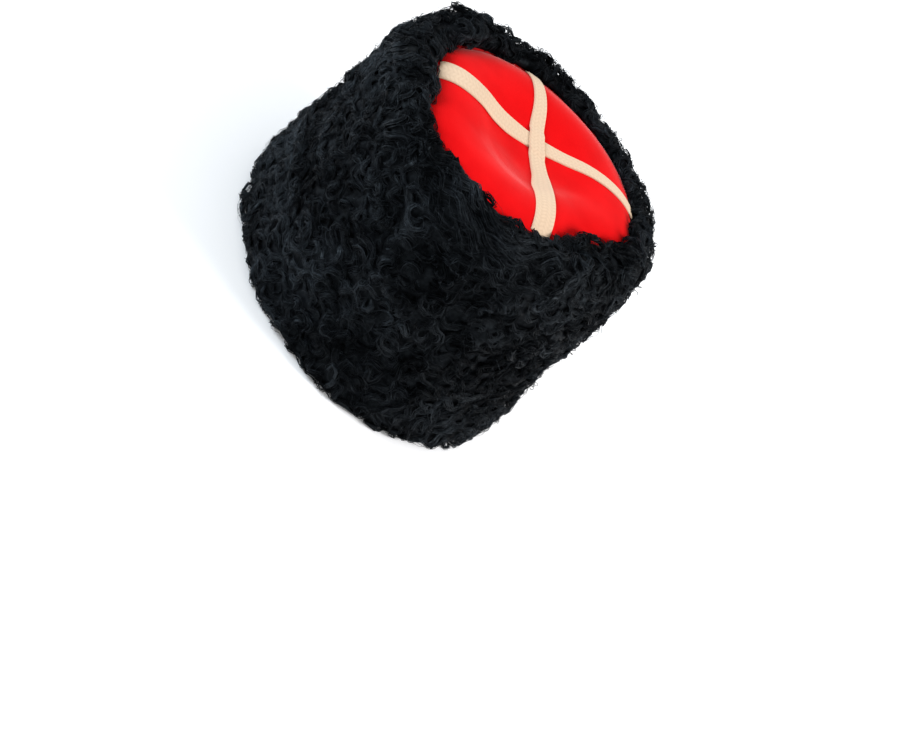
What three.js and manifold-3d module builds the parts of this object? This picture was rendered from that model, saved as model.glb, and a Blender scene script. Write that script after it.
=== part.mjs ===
// A papakha: a tall round hat of curly lambskin, whose fur rim turns in over a
// padded cloth crown that carries two crossed braids.
// Millimetres, +Z up. The origin is the centre of the rim, on the surface that
// the hat stands on. The brow is towards -Y and the wearer's left is +X.

import * as THREE from 'three';
import { mergeVertices } from 'three/addons/utils/BufferGeometryUtils.js';
import Module from 'manifold-3d';

// The hollow for the head, and the height
const headLength = 198; // brow to nape at the rim
const headWidth = 170; // ear to ear at the rim
const crownLength = 162; // fore and aft, under the crown
const crownWidth = 166; // ear to ear, under the crown
const height = 150; // rim to the top of the fur

// The lambskin
const hideThickness = 3;
const pileDepth = 16; // the fleece, from the hide to the tips of the locks
const shoulderRadius = 15; // where the side turns over into the top
const rimRadius = 5; // the rolled lower edge
const mouthEase = 3; // the inner edge of the rim, cut back
const lipOverhang = 6; // how far the fur reaches in over the edge of the crown
const lipRadius = 4; // the rounding of that inner edge

// The locks of the fleece: each is a curl, a tapered part of a ring
const lockRise = 5; // how far they stand out of the packed pile under them
const lockPitch = 27; // from lock to lock, along a row and between rows
const lockCurl = 8.5; // the radius of a lock's curl
const lockWidth = 16; // across a lock at its root, from foot to foot
const lockTip = 0.55; // the tip's share of that width
const lockSweep = 250; // how far round a lock curls, in degrees
const lockTightening = 0.25; // how much a curl closes in towards its tip
const lockEnding = 0.5; // a lock sinks away past its tip over this share of its sweep
const lockStray = 0.35; // how far a lock may lie off its place, as a share of the pitch
const lockSizes = { smallest: 0.8, largest: 1.15 }; // shares of all that is said above

// The cloth crown
const crownDrop = 10; // its edge lies this far under the top of the fur
const clothThickness = 2;
const puffHeight = 6; // the padded ring over the edge
const centreSink = 4; // the middle under the edge

// The braids
const sideBraidNarrow = 8.5; // gathered in at -X
const sideBraidWide = 18; // spread flat at +X
const sideBraidFlare = 0.3; // it widens past this share of its length
const longBraidNarrow = 8.8; // gathered in towards the brow
const longBraidWide = 14.4; // spread flat towards the nape
const longBraidFlare = 0;
const braidThickness = 1.2;
const crossingWidth = 13; // of the stretch where the upper braid is raised
const endGap = 2; // a braid's end stops this far short of the fur

const seamGap = 0.3; // between pieces that are sewn face to face
const facetGap = 0.6; // between pieces whose facets don't line up

// How finely the solids are faceted
const furSegments = 140; // round the fleece
const furRows = 32; // up the fleece, from the rim to the lip
const furFineness = 0.5; // facets that stand out less than this are merged
const segments = 48; // round the hollow, and round the crown, which follows it
const braidSteps = 22;

// Swellings of the fleece, pushed out or in by a share of its depth. Each is
// centred at an angle from +X and a share of the height, with its own reach.
const swellings = [
  { angle: -50, up: 0.92, spread: 34, tall: 0.35, out: -0.18 },
  { angle: -24, up: 0.6, spread: 40, tall: 0.4, out: -0.06 },
  { angle: 148, up: 0.85, spread: 30, tall: 0.3, out: 0.02 },
  { angle: -32, up: 0.12, spread: 25, tall: 0.3, out: 0.16 },
  { angle: 60, up: 0.5, spread: 55, tall: 0.3, out: 0.12 },
  { angle: 118, up: 0.04, spread: 45, tall: 0.3, out: 0.14 },
  { angle: 230, up: 0.45, spread: 60, tall: 0.35, out: 0.1 },
];

// Where the top of the fleece stands higher or lower, by a share of its depth.
const crests = [
  { angle: -58, spread: 26, rise: 0.4 },
  { angle: 38, spread: 42, rise: -0.06 },
];

// Where the fur leans in over the crown, or stands back from it, as a share of
// the radius of the opening.
const leanings = [
  { angle: -10, spread: 34, back: -0.09 },
  { angle: 40, spread: 45, back: 0.055 },
  { angle: 117, spread: 45, back: -0.185 },
  { angle: 190, spread: 48, back: 0.055 },
  { angle: 285, spread: 75, back: -0.075 },
];

// The crown's height across its radius: shares of puffHeight and centreSink.
const crownRelief = [
  { across: 0.0, puff: 0.0, sink: 1.0 },
  { across: 0.16, puff: 0.0, sink: 0.95 },
  { across: 0.36, puff: 0.2, sink: 0.45 },
  { across: 0.56, puff: 0.8, sink: 0.05 },
  { across: 0.7, puff: 1.0, sink: 0.0 },
  { across: 0.84, puff: 0.85, sink: 0.0 },
  { across: 0.95, puff: 0.35, sink: 0.0 },
  { across: 1.0, puff: 0.0, sink: 0.0 },
];

// The route of each braid over the crown: the angle of a point from +X, and
// its distance from the middle as a share of the braid's reach.
const sideBraidRoute = [
  { angle: 179, across: 1.0 },
  { angle: 187.2, across: 0.65 },
  { angle: 205.6, across: 0.36 },
  { angle: 283.4, across: 0.22 },
  { angle: 323.2, across: 0.35 },
  { angle: 339.9, across: 0.65 },
  { angle: 342.7, across: 1.0 },
];
const longBraidRoute = [
  { angle: 267, across: 1.0 },
  { angle: 258.7, across: 0.55 },
  { angle: 236.1, across: 0.21 },
  { angle: 126.4, across: 0.27 },
  { angle: 100.1, across: 0.5 },
  { angle: 91.4, across: 1.0 },
];
const sideBraid = {
  narrow: sideBraidNarrow,
  wide: sideBraidWide,
  flare: sideBraidFlare,
  route: sideBraidRoute,
};
const longBraid = {
  narrow: longBraidNarrow,
  wide: longBraidWide,
  flare: longBraidFlare,
  route: longBraidRoute,
};

const wasm = await Module();
wasm.setup();

const degrees = Math.PI / 180;
const wall = hideThickness + pileDepth;
const packedDepth = wall - lockRise; // the wall without its standing locks
const packedTop = height - lockRise;
const seamHeight = height - crownDrop;
const sideTop = packedTop - shoulderRadius;
const shoulderArc = (shoulderRadius * Math.PI) / 2;

// Helpers

// The radius of an oval at an angle from +X; its length lies along Y.
function ovalRadius(length, width, angle) {
  return 1 / Math.hypot(Math.cos(angle) / (width / 2), Math.sin(angle) / (length / 2));
}

// A smooth bump that is 1 at 0 and fades to 0 at 1.
function fade(distance) {
  const d = Math.min(1, Math.abs(distance));
  return (1 - d * d) ** 2;
}

// The turn between two angles, in degrees, from 0 to 180.
function turnBetween(a, b) {
  return Math.abs(((((a - b) % 360) + 540) % 360) - 180);
}

// A number from 0 to 1 that looks random, and is the same each time.
function scatter(seed) {
  const s = Math.sin(seed * 127.1 + 11.7) * 43758.5453;
  return s - Math.floor(s);
}

// A smooth curve through a table's columns: the value at x.
function readTable(rows, key, value, x) {
  const last = rows.length - 1;
  let i = 0;
  while (i < last - 1 && x > rows[i + 1][key]) i += 1;
  const at = (k) => rows[Math.max(0, Math.min(last, k))];
  const span = rows[i + 1][key] - rows[i][key];
  const t = Math.max(0, Math.min(1, (x - rows[i][key]) / span));
  const slope = (k) => {
    const run = at(k + 1)[key] - at(k - 1)[key];
    return k === 0 || k === last ? 0 : ((at(k + 1)[value] - at(k - 1)[value]) / run) * span;
  };
  const t2 = t * t;
  const t3 = t2 * t;
  return (
    (2 * t3 - 3 * t2 + 1) * rows[i][value] +
    (t3 - 2 * t2 + t) * slope(i) +
    (3 * t2 - 2 * t3) * rows[i + 1][value] +
    (t3 - t2) * slope(i + 1)
  );
}

// A closed mesh lofted through rings of points, from the lowest to the highest.
// Its first and last row are single points.
function loftGeometry(rows) {
  const columns = rows[1].length;
  const positions = [];
  const starts = [];
  for (const row of rows) {
    starts.push(positions.length / 3);
    for (const p of row) positions.push(p.x, p.y, p.z);
  }
  const at = (i, j) => starts[i] + (rows[i].length === 1 ? 0 : j % columns);
  const index = [];
  for (let i = 0; i < rows.length - 1; i += 1) {
    for (let j = 0; j < columns; j += 1) {
      const [a, b, c, d] = [at(i, j), at(i, j + 1), at(i + 1, j + 1), at(i + 1, j)];
      if (a !== b) index.push(a, b, c);
      if (c !== d) index.push(a, c, d);
    }
  }
  const geometry = new THREE.BufferGeometry();
  geometry.setAttribute('position', new THREE.Float32BufferAttribute(positions, 3));
  geometry.setIndex(index);
  return geometry;
}

// A closed mesh as a solid that can be joined and cut.
function solidOf(geometry) {
  const bare = geometry.clone();
  bare.deleteAttribute('normal');
  bare.deleteAttribute('uv');
  const merged = mergeVertices(bare, 1e-4);
  return new wasm.Manifold(
    new wasm.Mesh({
      numProp: 3,
      vertProperties: new Float32Array(merged.attributes.position.array),
      triVerts: new Uint32Array(merged.index.array),
    }),
  );
}

function geometryOf(solid) {
  const mesh = solid.getMesh();
  const geometry = new THREE.BufferGeometry();
  geometry.setAttribute('position', new THREE.BufferAttribute(mesh.vertProperties, 3));
  geometry.setIndex(new THREE.BufferAttribute(mesh.triVerts, 1));
  geometry.computeVertexNormals();
  return geometry;
}

// The shape of the hat, by angle and height

function swell(angle, up) {
  let out = 0;
  for (const s of swellings) {
    const round = turnBetween(angle / degrees, s.angle) / s.spread;
    out += s.out * fade(round) * fade((up - s.up) / s.tall);
  }
  return out * pileDepth;
}

function innerRadius(angle, up) {
  const rim = ovalRadius(headLength, headWidth, angle);
  const crown = ovalRadius(crownLength, crownWidth, angle);
  return THREE.MathUtils.lerp(rim, crown, up);
}

// The packed pile's surface, under the locks.
function packedRadius(angle, up) {
  return innerRadius(angle, up) + packedDepth + swell(angle, up);
}

// How much higher or lower than elsewhere the top of the fleece stands.
function crest(angle) {
  let rise = 0;
  for (const c of crests) rise += c.rise * fade(turnBetween(angle / degrees, c.angle) / c.spread);
  return rise * pileDepth;
}

// The opening in the fur that the crown shows through.
function openingRadius(angle) {
  let share = 1;
  for (const l of leanings) {
    share += l.back * fade(turnBetween(angle / degrees, l.angle) / l.spread);
  }
  return (innerRadius(angle, seamHeight / height) - lipOverhang) * share;
}

function polar(radius, angle, z) {
  return new THREE.Vector3(radius * Math.cos(angle), radius * Math.sin(angle), z);
}

// A ring of points round the hat, each at the radius and height of its angle.
function ringOf(count, place) {
  const ring = [];
  for (let j = 0; j < count; j += 1) {
    const angle = (j / count) * 2 * Math.PI;
    const [radius, z] = place(angle);
    ring.push(polar(radius, angle, z));
  }
  return ring;
}

function centreAt(z) {
  return [new THREE.Vector3(0, 0, z)];
}

// Where the packed pile's surface lies, at a share of the way from the rolled
// rim, up the side, over the shoulder and across to the lip.
function pilePlace(angle, share) {
  const shoulder = packedRadius(angle, packedTop / height) - shoulderRadius;
  const flat = shoulder - openingRadius(angle) - lipRadius;
  const run = share * (sideTop - rimRadius + shoulderArc + flat);
  const side = rimRadius + run;
  const raised = crest(angle) * THREE.MathUtils.smoothstep(side / sideTop, 0.6, 1);
  if (side <= sideTop) {
    return { radius: packedRadius(angle, side / height), z: side + raised, tilt: 0, run };
  }
  const turn = (side - sideTop) / shoulderRadius;
  const tilt = Math.min(turn, Math.PI / 2);
  const past = (turn - tilt) * shoulderRadius;
  return {
    radius: shoulder + shoulderRadius * Math.cos(tilt) - past,
    z: sideTop + shoulderRadius * Math.sin(tilt) + raised,
    tilt,
    run,
  };
}

// The locks stand in rows, each row turned half a step from the last.
function layLocks() {
  const locks = [];
  const rowCount = Math.round((sideTop + shoulderArc) / lockPitch);
  for (let row = 0; row <= rowCount; row += 1) {
    const run = (row + 0.5) * lockPitch;
    const radius = packedRadius(0, Math.min(1, run / height));
    const count = Math.round((2 * Math.PI * radius) / lockPitch);
    for (let i = 0; i < count; i += 1) {
      const seed = row * 100 + i + 1;
      const strayRound = (scatter(seed + 0.7) - 0.5) * lockStray;
      const strayUp = (scatter(seed + 0.3) - 0.5) * lockStray;
      locks.push({
        run: run + strayUp * lockPitch,
        angle: ((i + (row % 2) / 2 + strayRound) / count) * 2 * Math.PI,
        start: scatter(seed) * 2 * Math.PI,
        hand: scatter(seed + 0.5) > 0.5 ? 1 : -1,
        size: THREE.MathUtils.lerp(lockSizes.smallest, lockSizes.largest, scatter(seed + 0.9)),
      });
    }
  }
  return locks;
}

const locks = layLocks();

// How far the locks stand out of the pile at a place on it.
function lockHeight(angle, radius, run) {
  let highest = 0;
  for (const lock of locks) {
    const up = run - lock.run;
    if (Math.abs(up) > lockPitch) continue;
    const turn = ((angle - lock.angle + 5 * Math.PI) % (2 * Math.PI)) - Math.PI;
    const round = turn * radius;
    if (Math.abs(round) > lockPitch) continue;
    const bearing = (Math.atan2(up, round) - lock.start) * lock.hand;
    const along = ((bearing + 6 * Math.PI) % (2 * Math.PI)) / (lockSweep * degrees);
    const share = Math.min(1, along);
    const ended = Math.max(0, along - 1) / lockEnding;
    const width = (lockWidth / 2) * lock.size * THREE.MathUtils.lerp(1, lockTip, share);
    const curl = lockCurl * lock.size * (1 - lockTightening * share);
    const off = (Math.hypot(up, round) - curl) / width;
    highest = Math.max(highest, lockRise * lock.size * fade(Math.hypot(off, ended)));
  }
  return highest;
}

// The fleece outside, from the flat foot to the rounded lip. The locks sink
// into the pile at both ends.
function fleeceSolid() {
  const foot = (angle) => packedRadius(angle, 0) - rimRadius;
  const rows = [centreAt(0), ringOf(furSegments, (angle) => [foot(angle), 0])];
  for (const turn of [35, 65]) {
    const t = turn * degrees;
    rows.push(
      ringOf(furSegments, (angle) => [
        foot(angle) + rimRadius * Math.sin(t),
        rimRadius * (1 - Math.cos(t)),
      ]),
    );
  }
  for (let i = 0; i <= furRows; i += 1) {
    const share = i / furRows;
    const fromRim = THREE.MathUtils.smoothstep(share, 0, 0.04);
    const ends = fromRim * (1 - THREE.MathUtils.smoothstep(share, 0.93, 1));
    rows.push(
      ringOf(furSegments, (angle) => {
        const { radius, z, tilt, run } = pilePlace(angle, share);
        const out = lockHeight(angle, radius, run) * ends;
        return [radius + out * Math.cos(tilt), z + out * Math.sin(tilt)];
      }),
    );
  }
  for (const turn of [50, 90]) {
    const t = turn * degrees;
    rows.push(
      ringOf(furSegments, (angle) => [
        openingRadius(angle) + lipRadius * (1 - Math.sin(t)),
        packedTop - lipRadius * (1 - Math.cos(t)) + crest(angle),
      ]),
    );
  }
  rows.push(centreAt(packedTop - lipRadius));
  return solidOf(loftGeometry(rows)).simplify(furFineness);
}

// The hollow for the head, with the seat of the cloth and the opening over it.
function hollowSolid() {
  const flare = (angle, z) => [innerRadius(angle, 0) + mouthEase - z, z];
  const rows = [centreAt(-mouthEase), ringOf(segments, (angle) => flare(angle, -mouthEase))];
  rows.push(ringOf(segments, (angle) => [innerRadius(angle, mouthEase / height), mouthEase]));
  for (const share of [0.33, 0.66, 1]) {
    const z = seamHeight * share;
    rows.push(ringOf(segments, (angle) => [innerRadius(angle, z / height), z]));
  }
  rows.push(ringOf(segments, (angle) => [openingRadius(angle), seamHeight]));
  rows.push(ringOf(segments, (angle) => [openingRadius(angle), height + pileDepth]));
  rows.push(centreAt(height + pileDepth));
  return solidOf(loftGeometry(rows));
}

function furBody() {
  return geometryOf(fleeceSolid().subtract(hollowSolid()));
}

// The upper face of the cloth, at a place on the crown.
function clothTop(x, y) {
  const angle = Math.atan2(y, x);
  const across = Math.min(1, Math.hypot(x, y) / openingRadius(angle));
  const puff = readTable(crownRelief, 'across', 'puff', across) * puffHeight;
  const sink = readTable(crownRelief, 'across', 'sink', across) * centreSink;
  return seamHeight - seamGap + puff - sink;
}

// The crown is one thin shell, with its edge under the lip of the fur.
function crownCloth() {
  const layer = (share, drop) =>
    ringOf(segments, (angle) => {
      const radius = openingRadius(angle) * share;
      return [radius, clothTop(radius * Math.cos(angle), radius * Math.sin(angle)) - drop];
    });
  const edge = (drop) =>
    ringOf(segments, (angle) => [
      innerRadius(angle, seamHeight / height) - facetGap,
      seamHeight - seamGap - drop,
    ]);
  const rows = [centreAt(clothTop(0, 0) - clothThickness)];
  for (const share of [0.34, 0.6, 0.84, 1]) rows.push(layer(share, clothThickness));
  rows.push(edge(clothThickness), edge(0));
  for (const share of [1, 0.93, 0.84, 0.72, 0.6, 0.48, 0.34, 0.18]) rows.push(layer(share, 0));
  rows.push(centreAt(clothTop(0, 0)));
  return loftGeometry(rows);
}

// A braid's width at a share of its length.
function braidWidth(strip, share) {
  const { lerp, smoothstep } = THREE.MathUtils;
  return lerp(strip.narrow, strip.wide, smoothstep(share, strip.flare, 1));
}

// How far from the middle a braid's square end can lie, clear of the fur.
function braidReach(angle, width) {
  const turn = Math.asin(width / 2 / openingRadius(angle));
  const around = [angle - turn, angle, angle + turn].map(openingRadius);
  return Math.min(...around) - endGap;
}

function braidCurve(strip) {
  const points = strip.route.map(({ angle, across }, i) => {
    const a = angle * degrees;
    const width = braidWidth(strip, i / (strip.route.length - 1));
    return polar(braidReach(a, width) * across, a, 0);
  });
  return new THREE.CatmullRomCurve3(points, false, 'centripetal');
}

// A flat braid that follows the cloth. Where it passes over another braid, it
// rises by that braid's thickness.
function braid(strip, under) {
  const curve = braidCurve(strip);
  const crossed = under ? braidCurve(under).getPoints(80) : [];
  const rise = (p) => {
    const away = Math.min(...crossed.map((q) => Math.hypot(p.x - q.x, p.y - q.y)));
    const ramp = 1 - THREE.MathUtils.smoothstep(away / crossingWidth, 0.62, 1.05);
    return (braidThickness + seamGap) * ramp;
  };
  const across = [-0.5, 0, 0.5];
  const rows = [];
  for (let i = 0; i <= braidSteps; i += 1) {
    const t = i / braidSteps;
    const middle = curve.getPointAt(t);
    const ahead = curve.getTangentAt(t);
    const aside = new THREE.Vector3(-ahead.y, ahead.x, 0).normalize();
    const width = braidWidth(strip, t);
    const point = (share, lift) => {
      const p = middle.clone().addScaledVector(aside, share * width);
      p.z = clothTop(p.x, p.y) + facetGap + rise(p) + lift;
      return p;
    };
    const below = across.map((s) => point(s, 0));
    const above = across.map((s) => point(-s, braidThickness));
    rows.push([...below, ...above]);
  }
  const sum = (row) => row.reduce((total, p) => total.add(p), new THREE.Vector3());
  const centre = (row) => [sum(row).divideScalar(row.length)];
  return loftGeometry([centre(rows[0]), ...rows, centre(rows.at(-1))]);
}

const black = new THREE.MeshStandardMaterial({ color: 0x17191c, roughness: 0.75 });
const red = new THREE.MeshStandardMaterial({ color: 0xf01e1e, roughness: 0.8 });
const cream = new THREE.MeshStandardMaterial({ color: 0xe8cfa6, roughness: 0.7 });

function part(name, geometry, material) {
  const mesh = new THREE.Mesh(geometry, material);
  mesh.name = name;
  return mesh;
}

const papakha = new THREE.Group();
papakha.add(part('fur_body', furBody(), black));
papakha.add(part('crown_cloth', crownCloth(), red));
papakha.add(part('side_braid', braid(sideBraid, null), cream));
papakha.add(part('long_braid', braid(longBraid, sideBraid), cream));

export default papakha;
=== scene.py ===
import math

import bpy
import numpy as np
from mathutils import Matrix, Vector


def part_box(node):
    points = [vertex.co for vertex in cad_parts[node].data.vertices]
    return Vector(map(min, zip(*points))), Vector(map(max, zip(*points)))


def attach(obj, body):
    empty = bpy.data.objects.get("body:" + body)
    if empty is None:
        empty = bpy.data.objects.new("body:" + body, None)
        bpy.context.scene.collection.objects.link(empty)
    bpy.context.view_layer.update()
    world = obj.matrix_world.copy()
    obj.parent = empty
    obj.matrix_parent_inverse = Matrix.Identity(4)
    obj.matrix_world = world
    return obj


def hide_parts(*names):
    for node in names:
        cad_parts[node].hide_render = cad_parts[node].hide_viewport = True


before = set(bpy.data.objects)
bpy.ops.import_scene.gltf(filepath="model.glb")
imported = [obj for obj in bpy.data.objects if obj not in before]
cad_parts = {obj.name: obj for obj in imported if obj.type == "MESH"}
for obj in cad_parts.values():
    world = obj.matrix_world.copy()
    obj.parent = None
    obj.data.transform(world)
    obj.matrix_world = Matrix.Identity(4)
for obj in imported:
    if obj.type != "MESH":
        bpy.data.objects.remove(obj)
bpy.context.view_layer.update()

mm = 0.001
_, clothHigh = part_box("crown_cloth")     # half the cloth's width and length


# Small helpers

def toLinear(hexCode):
    channels = [int(hexCode[i:i + 2], 16) / 255 for i in (1, 3, 5)]
    return (*[c / 12.92 if c <= 0.04045 else ((c + 0.055) / 1.055) ** 2.4 for c in channels], 1.0)


def addNode(tree, kind, inputs=None, **settings):
    node = tree.nodes.new(kind)
    for name, value in settings.items():
        setattr(node, name, value)
    for name, value in (inputs or {}).items():
        if isinstance(value, bpy.types.NodeSocket):
            tree.links.new(value, node.inputs[name])
        else:
            node.inputs[name].default_value = value
    return node


def newMaterial(name):
    material = bpy.data.materials.new(name)
    material.use_nodes = True
    material.node_tree.nodes.clear()
    return material, material.node_tree


def meshObject(name, vertices, faces, materials):
    mesh = bpy.data.meshes.new(name)
    mesh.from_pydata(np.asarray(vertices).tolist(), [], faces)
    mesh.update()
    mesh.polygons.foreach_set("use_smooth", [True] * len(mesh.polygons))
    for material in materials:
        mesh.materials.append(material)
    piece = bpy.data.objects.new(name, mesh)
    bpy.context.scene.collection.objects.link(piece)
    return piece


def quads(*corners):                     # faces, from one array for each of their corners
    return np.stack(corners, axis=-1).reshape(-1, 4).tolist()


def smoothStep(x, low, high):
    t = np.clip((x - low) / (high - low), 0, 1)
    return t * t * (3 - 2 * t)


def wander(points, size, seed):          # smooth noise from -1 to 1, with lumps of about that size
    rng = np.random.default_rng(seed)
    total = np.zeros(points.shape[:-1])
    for _ in range(9):
        way = rng.normal(size=3)
        way *= rng.uniform(0.7, 1.5) * math.pi / (size * np.linalg.norm(way))
        total += np.sin(points @ way + rng.uniform(0, 2 * math.pi))
    return np.clip(total / 3.4, -1, 1)


# The form of the hat: ovals at the rim and the crown, measured on the frame

hat = {
    "height": 150 * mm,
    "hollow": (170 * mm, 198 * mm),
    "wall": 19 * mm,              # hide and pile together
    "pileDepth": 16 * mm,
    "clothGap": 0.6 * mm,         # from the crown's edge to the wall round it
    "clothThickness": 2 * mm,
    "clothDepth": 10 * mm,        # from the top of the hat down to the cloth's seam
    "pileInset": 4.3 * mm,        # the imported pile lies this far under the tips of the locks
    "shoulder": 15 * mm,
    "rimRoll": 6 * mm,
    "lipOverhang": 6 * mm,
    "lipRoll": 5 * mm,
    "seamGap": 0.3 * mm,          # how far under the seam the cloth's edge lies
    "hideEase": 3 * mm,           # rounds the hollow's edge at the rim
}
innerCrown = np.array((clothHigh.x, clothHigh.y)) + hat["clothGap"]
innerRim = np.array(hat["hollow"]) / 2
hatTop = hat["height"] - hat["pileInset"]
seamHeight = hat["height"] - hat["clothDepth"]

swellings = [                            # where the fleece swells or sinks: shares of height and pile
    {"angle": -50, "up": 0.92, "spread": 34, "tall": 0.35, "out": -0.18},
    {"angle": -24, "up": 0.6, "spread": 40, "tall": 0.4, "out": -0.06},
    {"angle": 148, "up": 0.85, "spread": 30, "tall": 0.3, "out": 0.02},
    {"angle": -32, "up": 0.12, "spread": 25, "tall": 0.3, "out": 0.16},
    {"angle": 60, "up": 0.5, "spread": 55, "tall": 0.3, "out": 0.12},
    {"angle": 118, "up": 0.04, "spread": 45, "tall": 0.3, "out": 0.14},
    {"angle": 230, "up": 0.45, "spread": 60, "tall": 0.35, "out": 0.10},
]
crests = [                               # where its top stands higher or lower: share of the pile
    {"angle": -58, "spread": 26, "rise": 0.40},
    {"angle": 38, "spread": 42, "rise": -0.06},
]
leanings = [                             # where the fur leans over the cloth: share of the opening
    {"angle": -10, "spread": 34, "back": -0.09},
    {"angle": 40, "spread": 45, "back": 0.055},
    {"angle": 117, "spread": 45, "back": -0.185},
    {"angle": 190, "spread": 48, "back": 0.055},
    {"angle": 285, "spread": 75, "back": -0.075},
]
crownRelief = {                          # the cloth from the middle out: shares of puff and sink
    "puffHeight": 6 * mm,
    "centreSink": 4 * mm,
    "across": [0.0, 0.16, 0.36, 0.56, 0.70, 0.84, 0.95, 1.0],
    "puff": [0.0, 0.0, 0.20, 0.80, 1.0, 0.85, 0.35, 0.0],
    "sink": [1.0, 0.95, 0.45, 0.05, 0.0, 0.0, 0.0, 0.0],
}


def ovalRadius(halves, angle):
    return 1 / np.hypot(np.cos(angle) / halves[0], np.sin(angle) / halves[1])


def fade(distance):
    d = np.clip(np.abs(distance), 0, 1)
    return (1 - d * d) ** 2


def turnBetween(angle, degrees):
    return np.abs((np.degrees(angle) - degrees + 540) % 360 - 180)


def innerRadius(angle, up):
    return ovalRadius(innerRim, angle) * (1 - up) + ovalRadius(innerCrown, angle) * up


def swell(angle, up):
    out = 0
    for s in swellings:
        near = fade(turnBetween(angle, s["angle"]) / s["spread"])
        out = out + s["out"] * near * fade((up - s["up"]) / s["tall"])
    return out * hat["pileDepth"]


def crest(angle):
    rise = 0
    for c in crests:
        rise = rise + c["rise"] * fade(turnBetween(angle, c["angle"]) / c["spread"])
    return rise * hat["pileDepth"]


def pileRadius(angle, up):
    return innerRadius(angle, up) + hat["wall"] - hat["pileInset"] + swell(angle, up)


def openingRadius(angle):
    share = 1
    for lean in leanings:
        share = share + lean["back"] * fade(turnBetween(angle, lean["angle"]) / lean["spread"])
    return (innerRadius(angle, seamHeight / hat["height"]) - hat["lipOverhang"]) * share


def smoothTable(values, across):         # a smooth curve through crownRelief's columns
    x = np.array(crownRelief["across"])
    y = np.array(crownRelief[values])
    slopes = np.gradient(y, x)
    slopes[[0, -1]] = 0
    i = np.clip(np.searchsorted(x, across) - 1, 0, len(x) - 2)
    span = x[i + 1] - x[i]
    t = np.clip((across - x[i]) / span, 0, 1)
    return ((2 * t**3 - 3 * t**2 + 1) * y[i] + (t**3 - 2 * t**2 + t) * slopes[i] * span
            + (3 * t**2 - 2 * t**3) * y[i + 1] + (t**3 - t**2) * slopes[i + 1] * span)


def clothTop(x, y):
    angle = np.arctan2(y, x)
    across = np.minimum(1, np.hypot(x, y) / openingRadius(angle))
    lift = (smoothTable("puff", across) * crownRelief["puffHeight"]
            - smoothTable("sink", across) * crownRelief["centreSink"])
    return seamHeight - hat["seamGap"] + lift


# Materials

def blackLambskin():
    # Dyed karakul wool: near black, with a thin cold lustre along the crests; colour and lustre both follow
    # the strands' tone, which carries painted shade between the locks
    streak = 6.25 * mm                   # the length of three of a fibre's streaks
    patch = 22.2 * mm                    # where the dye took more or less
    glint = 2.38 * mm                    # bundles of tips that catch the light
    material, tree = newMaterial("dyedLambswool")
    place = addNode(tree, "ShaderNodeTexCoord")
    tone = addNode(tree, "ShaderNodeAttribute", attribute_name="tone")
    turn = addNode(tree, "ShaderNodeAttribute", attribute_name="round")
    along = addNode(tree, "ShaderNodeAttribute", attribute_name="along")
    lengthways = addNode(tree, "ShaderNodeMath", {0: along.outputs["Fac"], 1: 1 / streak},
                         operation="MULTIPLY")
    across = addNode(tree, "ShaderNodeSeparateXYZ", {"Vector": turn.outputs["Vector"]})
    fibre = addNode(tree, "ShaderNodeCombineXYZ", {
        "X": across.outputs["X"], "Y": across.outputs["Y"], "Z": lengthways.outputs[0]})
    fibres = addNode(tree, "ShaderNodeTexNoise", {
        "Vector": fibre.outputs["Vector"], "Scale": 3, "Detail": 3})
    cloud = addNode(tree, "ShaderNodeTexNoise", {
        "Vector": place.outputs["Object"], "Scale": 1 / patch, "Detail": 3})
    mixed = addNode(tree, "ShaderNodeMath", {0: tone.outputs["Fac"], 1: cloud.outputs["Fac"]},
                    operation="MULTIPLY")
    streaked = addNode(tree, "ShaderNodeMath", {0: mixed.outputs[0], 1: fibres.outputs["Fac"]},
                       operation="MULTIPLY")
    colour = addNode(tree, "ShaderNodeValToRGB", {"Fac": streaked.outputs[0]})
    colour.color_ramp.elements[0].position = 0.02
    colour.color_ramp.elements[0].color = toLinear("#030304")
    colour.color_ramp.elements[1].position = 0.32
    colour.color_ramp.elements[1].color = toLinear("#1A1D22")
    bump = addNode(tree, "ShaderNodeBump", {
        "Height": fibres.outputs["Fac"], "Strength": 0.5, "Distance": 0.3 * mm})
    grain = addNode(tree, "ShaderNodeTexNoise", {
        "Vector": place.outputs["Object"], "Scale": 1 / glint, "Detail": 2})
    speckle = addNode(tree, "ShaderNodeMapRange", {
        "Value": grain.outputs["Fac"], "From Min": 0.36, "From Max": 0.66, "To Min": 0.5, "To Max": 1.55})
    # the lustre follows the tone too, so the painted shade of deep strands, cores and base dims it
    shine = addNode(tree, "ShaderNodeMapRange", {
        "Value": streaked.outputs[0], "From Min": 0.02, "From Max": 0.3, "To Min": 0.05, "To Max": 0.4})
    lustre = addNode(tree, "ShaderNodeMath", {0: shine.outputs["Result"], 1: speckle.outputs["Result"]},
                     operation="MULTIPLY")
    wool = addNode(tree, "ShaderNodeBsdfPrincipled", {
        "Base Color": colour.outputs["Color"], "Roughness": 0.56, "Normal": bump.outputs["Normal"],
        "Specular IOR Level": lustre.outputs[0], "Specular Tint": toLinear("#D2E7F2")})
    addNode(tree, "ShaderNodeOutputMaterial", {"Surface": wool.outputs["BSDF"]})
    return material


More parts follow.
